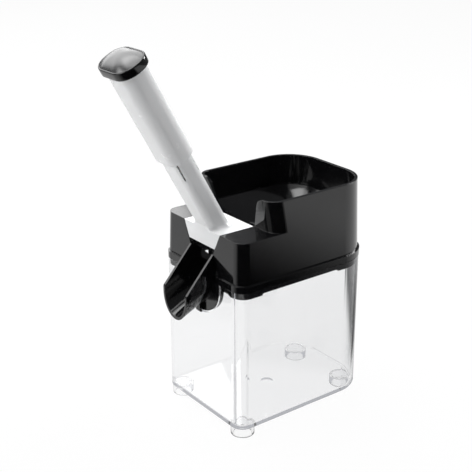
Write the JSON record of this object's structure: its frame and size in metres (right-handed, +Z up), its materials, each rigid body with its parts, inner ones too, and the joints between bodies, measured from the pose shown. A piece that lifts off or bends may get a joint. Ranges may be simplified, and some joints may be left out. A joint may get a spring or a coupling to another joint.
{
  "type": "cherry pitter",
  "caption": "Table-top cherry pitter: clear container, black hopper head with front chute, and a leaning sprung plunger with an oblong white grip.",
  "frame": {"origin": "on the table, under the middle of the whole object's outline", "axes": "+Z up, the chute and the plunger's top point to -Y, and X=0 is the plane of symmetry"},
  "size_m": [0.1006, 0.2076, 0.3002],
  "materials": {
    "clear_plastic": "clear, polished, water-white",
    "black_plastic": "high gloss, moulded",
    "white_plastic": "satin to gloss, moulded",
    "silicone": "matt, soft",
    "steel": "bright zinc"
  },
  "bodies": {
    "container": {"container": "clear_plastic"},
    "head": {"head_housing": "black_plastic", "feed_tray": "black_plastic", "tray_screws": "steel", "seat_ring": "silicone", "chute": "black_plastic"},
    "guide": {"guide": "white_plastic", "stop_ring": "white_plastic", "return_spring": "steel"},
    "plunger": {"plunger_core": "white_plastic", "punch": "white_plastic", "grip_sleeve": "white_plastic", "handle_screw": "steel", "cap_ring": "black_plastic", "cap_cover": "black_plastic"}
  },
  "joints": [
    {"name": "head_lift", "type": "slide", "parent": "container", "child": "head", "axis": [0, 0, 1], "range_m": [0, 0.06]},
    {"name": "guide_lift", "type": "slide", "parent": "head", "child": "guide", "axis": [0, -0.4856, 0.8742], "range_m": [0, 0.06]},
    {"name": "plunger_press", "type": "slide", "parent": "guide", "child": "plunger", "axis": [0, 0.4856, -0.8742], "range_m": [0, 0.038], "stiffness_N_per_m": 150, "springref_m": -0.03, "deforming": ["return_spring"]}
  ]
}
